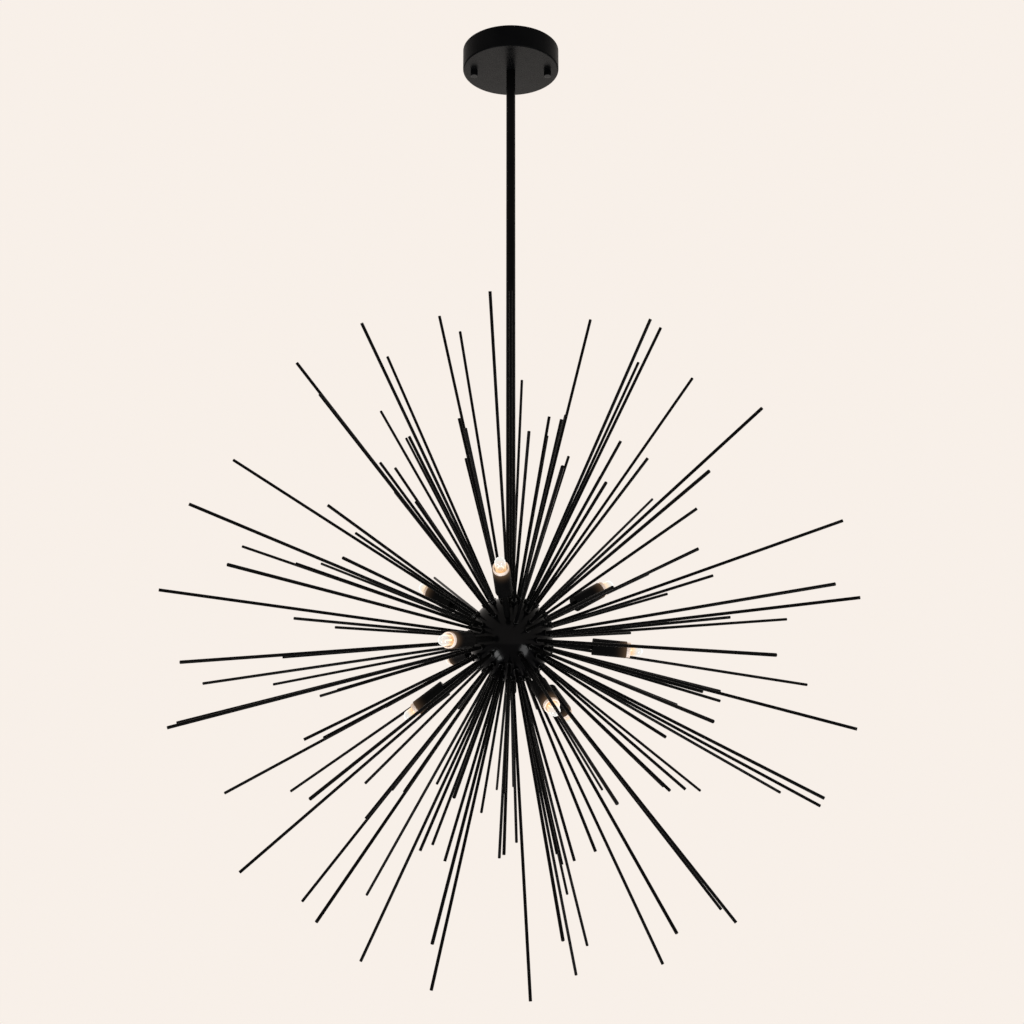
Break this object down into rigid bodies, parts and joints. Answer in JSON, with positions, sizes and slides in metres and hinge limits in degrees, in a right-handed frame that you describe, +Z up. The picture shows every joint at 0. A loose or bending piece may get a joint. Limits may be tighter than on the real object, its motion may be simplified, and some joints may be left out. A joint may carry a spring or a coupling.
{
  "type": "sputnik chandelier",
  "caption": "Black sputnik chandelier: a ball on a stem and round canopy, set all round with straight rods of two lengths and small capsule lamps in cups.",
  "frame": {"origin": "middle of the canopy on the ceiling plane, between the crossbar's two slots", "axes": "+Z up the stem towards the ceiling, +X along the crossbar, -Y towards the viewer"},
  "size_m": [0.8582, 0.8377, 1.2691],
  "materials": {
    "black_paint": "satin",
    "ball_black": "gloss",
    "zinc_steel": "satin",
    "earth_green": "satin",
    "nylon": "matte",
    "lead_sheath": "matte",
    "ceramic": "satin",
    "contact_brass": "satin",
    "sleeve_grey": "satin",
    "bulb_glass": "clear",
    "lamp_wire": "bare"
  },
  "bodies": {
    "fixture": {"mounting_bracket": "zinc_steel", "bracket_studs": "zinc_steel", "stud_lock_nuts": "zinc_steel", "ground_screw": "earth_green", "canopy": "black_paint", "cap_nuts": "black_paint", "canopy_washer": "zinc_steel", "canopy_nut": "zinc_steel", "downrod_top": "black_paint", "downrod_middle": "black_paint", "downrod_bottom": "black_paint", "downrod_nipples": "zinc_steel", "ball_top_collar": "black_paint", "ball_upper_shell": "ball_black", "ball_lower_shell": "ball_black", "hub_nipple": "zinc_steel", "hub_nuts": "zinc_steel", "bottom_finial": "black_paint", "junction_block": "nylon", "main_leads": "lead_sheath", "lamp_leads": "lead_sheath", "lamp_arms": "black_paint", "arm_lock_nuts": "zinc_steel", "lamp_cups": "black_paint", "lamp_holders": "ceramic", "holder_contacts": "contact_brass", "holder_sleeves": "sleeve_grey", "rods_row_01": "black_paint", "rods_row_02": "black_paint", "rods_row_03": "black_paint", "rods_row_04": "black_paint", "rods_row_05": "black_paint", "rods_row_06": "black_paint", "rods_row_07": "black_paint", "rods_row_08": "black_paint", "rods_row_09": "black_paint", "rods_row_10": "black_paint", "rods_row_11": "black_paint", "rods_row_12": "black_paint", "rods_row_13": "black_paint", "rods_row_14": "black_paint"},
    "lamp_1": {"lamp_1_glass": "bulb_glass", "lamp_1_filament": "lamp_wire"},
    "lamp_2": {"lamp_2_glass": "bulb_glass", "lamp_2_filament": "lamp_wire"},
    "lamp_3": {"lamp_3_glass": "bulb_glass", "lamp_3_filament": "lamp_wire"},
    "lamp_4": {"lamp_4_glass": "bulb_glass", "lamp_4_filament": "lamp_wire"},
    "lamp_5": {"lamp_5_glass": "bulb_glass", "lamp_5_filament": "lamp_wire"},
    "lamp_6": {"lamp_6_glass": "bulb_glass", "lamp_6_filament": "lamp_wire"},
    "lamp_7": {"lamp_7_glass": "bulb_glass", "lamp_7_filament": "lamp_wire"},
    "lamp_8": {"lamp_8_glass": "bulb_glass", "lamp_8_filament": "lamp_wire"},
    "lamp_9": {"lamp_9_glass": "bulb_glass", "lamp_9_filament": "lamp_wire"}
  },
  "joints": [
    {"name": "lamp_1_pull", "type": "slide", "parent": "fixture", "child": "lamp_1", "axis": [-0.077, -0.8796, 0.4695], "range_m": [0, 0.018]},
    {"name": "lamp_2_pull", "type": "slide", "parent": "fixture", "child": "lamp_2", "axis": [0.8002, 0.3731, 0.4695], "range_m": [0, 0.018]},
    {"name": "lamp_3_pull", "type": "slide", "parent": "fixture", "child": "lamp_3", "axis": [-0.7233, 0.5064, 0.4695], "range_m": [0, 0.018]},
    {"name": "lamp_4_pull", "type": "slide", "parent": "fixture", "child": "lamp_4", "axis": [-0.4826, -0.8706, -0.0958], "range_m": [0, 0.018]},
    {"name": "lamp_5_pull", "type": "slide", "parent": "fixture", "child": "lamp_5", "axis": [0.9952, 0.0174, -0.0958], "range_m": [0, 0.018]},
    {"name": "lamp_6_pull", "type": "slide", "parent": "fixture", "child": "lamp_6", "axis": [-0.5127, 0.8532, -0.0958], "range_m": [0, 0.018]},
    {"name": "lamp_7_pull", "type": "slide", "parent": "fixture", "child": "lamp_7", "axis": [0.3205, -0.7372, -0.5948], "range_m": [0, 0.018]},
    {"name": "lamp_8_pull", "type": "slide", "parent": "fixture", "child": "lamp_8", "axis": [0.4782, 0.6462, -0.5948], "range_m": [0, 0.018]},
    {"name": "lamp_9_pull", "type": "slide", "parent": "fixture", "child": "lamp_9", "axis": [-0.7987, 0.091, -0.5948], "range_m": [0, 0.018]}
  ]
}
